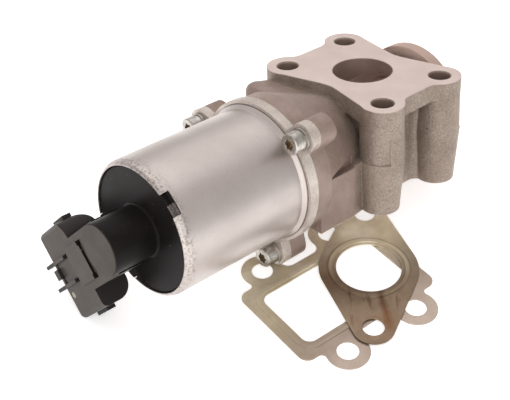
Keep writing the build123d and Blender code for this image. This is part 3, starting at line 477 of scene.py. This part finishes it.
def stained_sheet():
    """Oval gasket with a heat tint, gold at its far hole and brown at the near one, and a run of rust; the
    gold is paled as a painted reflection, and the bead has a painted highlight and a painted shade line.
    """
    g = Surface("stained_sheet")
    length = g.along(OVAL_CENTRE, OVAL_LONG)
    width = g.along(OVAL_CENTRE, OVAL_CROSS)
    drawn_out = g.add("ShaderNodeCombineXYZ")
    g.link(g.times(length, 0.25), drawn_out.inputs[0])
    g.link(width, drawn_out.inputs[1])
    runs = g.noise(300.0, 3.0, source=drawn_out.outputs[0])
    cloud = g.noise(48.0, 4.0, 0.6)
    fine = g.noise(1500.0, 2.0, 0.5)

    # Partly painted reflection: the gold heat tint at the far hole is paled nearly to white, standing in
    # for a bright reflection there.
    gold = g.blend(cloud, 0.40, 0.60, (0.720, 0.620, 0.430), (0.970, 0.900, 0.710))
    brown = g.blend(cloud, 0.35, 0.65, (0.185, 0.130, 0.085), (0.330, 0.245, 0.170))
    colour = g.blend(length, *GOLD_TO_BROWN, gold, brown)
    edge = g.times(g.ramp(g.unsigned(width), *EDGE_ACROSS, 0.0, 0.45), g.ramp(length, *EDGE_STARTS))
    edge = g.times(edge, g.ramp(length, *EDGE_FADES, 1.0, 0.25))
    colour = g.mix(edge, colour, (0.130, 0.090, 0.060))
    warm = g.within((length, WARM_ALONG), (width, WARM_ACROSS), WARM_R)
    warm = g.times(g.ramp(runs, 0.40, 0.60, 0.1, 0.6), warm)
    colour = g.mix(warm, colour, (0.270, 0.150, 0.080))

    wander = g.times(g.minus(g.noise(260.0, 2.0, 0.5), 0.5), STREAK_WANDER)
    streak = g.minus(g.plus(width, wander), g.ramp(length, *STREAK_RUN, *STREAK_ACROSS))
    streak = g.ramp(g.unsigned(streak), *STREAK_WIDTH, 0.9, 0.0)
    rust = g.larger(g.ramp(runs, 0.58, 0.68, 0.0, 0.6), streak)
    rust = g.times(rust, g.times(g.ramp(length, *RUST_STARTS), g.ramp(length, *RUST_FADES, 1.0, 0.2)))
    rusty = g.blend(length, *DARK_TO_RED_RUST, (0.075, 0.040, 0.022), (0.190, 0.085, 0.038))
    colour = g.mix(rust, colour, rusty)

    # Painted highlight along the bead's crest and painted shade along its foot, both fading towards the
    # near hole.
    from_bead = g.minus(g.math("SQRT", g.reach_squared((length, 0.0), (width, 0.0))), BEAD_R)
    bright = g.ramp(length, *BEAD_PAINT_FADES, 1.0, 0.12)
    painted_bead_highlight = g.ramp(g.unsigned(from_bead), *BEAD_HIGHLIGHT, 0.5, 0.0)
    colour = g.mix(g.times(painted_bead_highlight, bright), colour, (0.800, 0.700, 0.500))
    painted_bead_shade = g.ramp(g.unsigned(g.minus(from_bead, BEAD_SHADE_STEP)), *BEAD_SHADE, 0.5, 0.0)
    colour = g.mix(g.times(painted_bead_shade, bright), colour, (0.140, 0.100, 0.065))
    g.bump(g.plus(fine, g.times(cloud, 3.0)), 0.00008, 0.6, edge=0.0003)
    rough = g.ramp(length, *GLOSS_STRETCH, 0.50, 0.30)
    return g.finish(colour, rough, g.ramp(length, *METAL_STRETCH, 0.05, 0.75))


def speckled(name, low, high, rough, metallic=0.0):
    """Plain fine-grained surface of an inner piece."""
    g = Surface(name)
    cloud = g.noise(400.0, 4.0, 0.6)
    g.bump(g.noise(1600.0, 2.0, 0.5), 0.00005, 0.5)
    return g.finish(g.blend(cloud, 0.3, 0.7, low, high), rough, metallic)


def helix(radius, wire, start, end, turns):
    """Mesh of a round wire wound on the solenoid axis, with closed ends."""
    steps = RINGS_PER_TURN * turns
    lead = (end - start - 2 * wire) / turns
    round_wire = [2 * math.pi * k / WIRE_POINTS for k in range(WIRE_POINTS)]
    bm = bmesh.new()
    rings = []
    for i in range(steps + 1):
        angle = 2 * math.pi * turns * i / steps
        out = Vector((0.0, math.cos(angle), math.sin(angle)))
        ahead = Vector((lead / (2 * math.pi), -radius * out.z, radius * out.y)).normalized()
        side = ahead.cross(out)
        centre = Vector((start + wire + lead * turns * i / steps, 0.0, AXIS_Z)) + out * radius
        ring = [centre + wire * (out * math.cos(a) + side * math.sin(a)) for a in round_wire]
        rings.append([bm.verts.new(point) for point in ring])
    for one, two in zip(rings, rings[1:]):
        for k in range(WIRE_POINTS):
            after = (k + 1) % WIRE_POINTS
            bm.faces.new((one[k], one[after], two[after], two[k]))
    bm.faces.new(rings[0])
    bm.faces.new(rings[-1])
    bmesh.ops.recalc_face_normals(bm, faces=bm.faces)
    for face in bm.faces:
        face.smooth = len(face.verts) == 4
    return bm


def coil_spring(name, node, joint, material, start, end, **wound):
    """Helix that stands for a spring node: the node is hidden and the helix rides on the valve body."""
    bm = helix(start=start, end=end, **wound)
    mesh = bpy.data.meshes.new(name)
    bm.to_mesh(mesh)
    bm.free()
    mesh.materials.append(material)
    coil = bpy.data.objects.new(name, mesh)
    bpy.context.collection.objects.link(coil)
    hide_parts(node)
    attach(coil, "valve_body")
    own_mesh(coil)


def springs(material):
    """Both springs."""
    coil_spring("return_coil", "return_spring", "valve_lift", material,
                start=0.0466, end=0.0590, radius=0.0096, wire=0.0008, turns=3)
    coil_spring("sensor_coil", "sensor_spring", "sensor_follow", material,
                start=0.1240, end=0.1414, radius=0.0034, wire=0.00035, turns=5)


def dress_outside():
    """Finishes of the pieces that show."""
    dress(cast_metal(), "valve_housing")
    dress(satin_can(), "solenoid_can")
    dress(ring_metal(), "clamp_ring")
    dress(zinc_steel(), "can_screws", "screw_washers", "spring_retainer")
    # The last colour given to each moulded material is the painted light on its end faces.
    dress(moulded("cap_plastic", 0.40, SHELL_FACE_X, (0.082, 0.069, 0.059)), "end_cap")
    dress(moulded("cover_plastic", 0.45, COVER_FACE_X, (0.075, 0.064, 0.053)), "sensor_cover")
    dress(pale_sheet(), "port_gasket")
    dress(stained_sheet(), "pipe_gasket")


def dress_inside():
    """Finishes of the works inside."""
    seat_steel = turned_steel("seat_steel", (0.55, 0.46, 0.41), (0.70, 0.61, 0.55))
    dress(seat_steel, "valve_seat", "valve_poppet", "stem_shield")
    dress(turned_steel("bush_bronze", (0.42, 0.28, 0.14), (0.55, 0.38, 0.20), 0.35), "stem_bush")
    magnet_iron = turned_steel("magnet_iron", (0.26, 0.26, 0.26), (0.38, 0.38, 0.38), 0.4)
    dress(magnet_iron, "armature", "fixed_core", "front_pole_plate", "rear_pole_plate")
    dress(turned_steel("sleeve_steel", (0.50, 0.50, 0.48), (0.62, 0.62, 0.60)), "guide_sleeve")
    spring_steel = turned_steel("spring_steel", (0.24, 0.24, 0.25), (0.36, 0.36, 0.37))
    dress(spring_steel, "return_spring", "sensor_spring", "retainer_clip")
    springs(spring_steel)
    dress(speckled("bobbin_plastic", (0.030, 0.030, 0.030), (0.050, 0.050, 0.050), 0.5), "coil_bobbin")
    copper_wire = speckled("copper_wire", (0.50, 0.19, 0.09), (0.66, 0.30, 0.15), 0.35, 0.9)
    dress(copper_wire, "coil_winding", "coil_leads")
    seal_rubber = speckled("seal_rubber", (0.012, 0.012, 0.012), (0.028, 0.028, 0.028), 0.6)
    dress(seal_rubber, "can_seal", "cap_seal")
    terminal_metal = speckled("terminal_metal", (0.55, 0.50, 0.36), (0.68, 0.63, 0.50), 0.3, 1.0)
    dress(terminal_metal, "plug_terminals", "sensor_wiper")
    dress(speckled("rod_plastic", (0.55, 0.52, 0.44), (0.66, 0.63, 0.55), 0.45), "sensor_rod")
    dress(speckled("board_laminate", (0.03, 0.09, 0.05), (0.05, 0.13, 0.07), 0.4), "sensor_board")


def floor_white():
    """Pale floor material, with light of its own for camera rays and reflections only."""
    g = Surface("floor_white")
    g.finish(g.mix(g.noise(30.0), (0.86, 0.86, 0.86), (0.90, 0.90, 0.90)), 0.8)
    rays = g.add("ShaderNodeLightPath").outputs
    seen = g.times(rays["Is Camera Ray"], FLOOR_GLOW)
    mirrored = g.times(rays["Is Glossy Ray"], FLOOR_SHEEN)
    glow = g.add("ShaderNodeEmission")
    g.link(g.plus(seen, mirrored), glow.inputs["Strength"])
    both = g.add("ShaderNodeAddShader")
    g.link(g.shader.outputs[0], both.inputs[0])
    g.link(glow.outputs[0], both.inputs[1])
    g.link(both.outputs[0], g.tree.nodes["Material Output"].inputs["Surface"])
    return g.material


def floor():
    """Square floor under the valve; it looks white and keeps the object's shadow."""
    side = Vector((0, 0, 1)).cross(FLOOR_NORMAL).normalized() * FLOOR_HALF
    ahead = FLOOR_NORMAL.cross(side)
    centre = FLOOR_NORMAL * FLOOR_OFFSET
    corners = (centre - side - ahead, centre + side - ahead, centre + side + ahead, centre - side + ahead)
    mesh = bpy.data.meshes.new("floor")
    mesh.from_pydata([tuple(c) for c in corners], [], [(0, 1, 2, 3)])
    mesh.materials.append(floor_white())
    obj = bpy.data.objects.new("floor", mesh)
    bpy.context.collection.objects.link(obj)


def world():
    """Surroundings: white to the camera; a little weaker and rosier overhead for everything else."""
    made = bpy.data.worlds.new("studio")
    made.use_nodes = True
    g = Graph(made.node_tree, "Generated")
    height = g.axis(2)
    seen = g.add("ShaderNodeLightPath").outputs["Is Camera Ray"]
    background = g.tree.nodes["Background"]
    light = g.ramp(height, *LIGHT_HEIGHTS, LOW_LIGHT, HIGH_LIGHT)
    g.link(g.larger(light, seen), background.inputs["Strength"])
    rosy = g.times(g.ramp(height, *TINT_HEIGHTS), g.minus(1.0, seen))
    g.link(g.mix(rosy, (1.0, 1.0, 1.0), TINT), background.inputs["Color"])
    bpy.context.scene.world = made


def softbox(name, at, size, power):
    """Square area lamp."""
    lamp = bpy.data.lights.new(name, "AREA")
    lamp.size = size
    lamp.energy = power
    obj = bpy.data.objects.new(name, lamp)
    obj.location = at
    obj.rotation_euler = (Vector(LAMP_AIM) - Vector(at)).to_track_quat("-Z", "Y").to_euler()
    bpy.context.collection.objects.link(obj)


def camera():
    """Camera at the photograph's place."""
    data = bpy.data.cameras.new("camera")
    data.lens = CAMERA_LENS
    data.sensor_width = SENSOR_WIDTH
    data.sensor_fit = "HORIZONTAL"
    data.clip_start = CLIP_START
    obj = bpy.data.objects.new("camera", data)
    right = Vector(CAMERA_RIGHT).normalized()
    back = right.cross(-Vector(CAMERA_DOWN)).normalized()
    up = back.cross(right)
    obj.matrix_world = Matrix.Translation(CAMERA_AT) @ Matrix((right, up, back)).transposed().to_4x4()
    bpy.context.collection.objects.link(obj)
    bpy.context.scene.camera = obj


dress_outside()
dress_inside()
floor()
world()
softbox("key", KEY_AT, KEY_SIZE, KEY_POWER)
softbox("fill", FILL_AT, FILL_SIZE, FILL_POWER)
camera()
bpy.context.scene.view_settings.view_transform = "Standard"
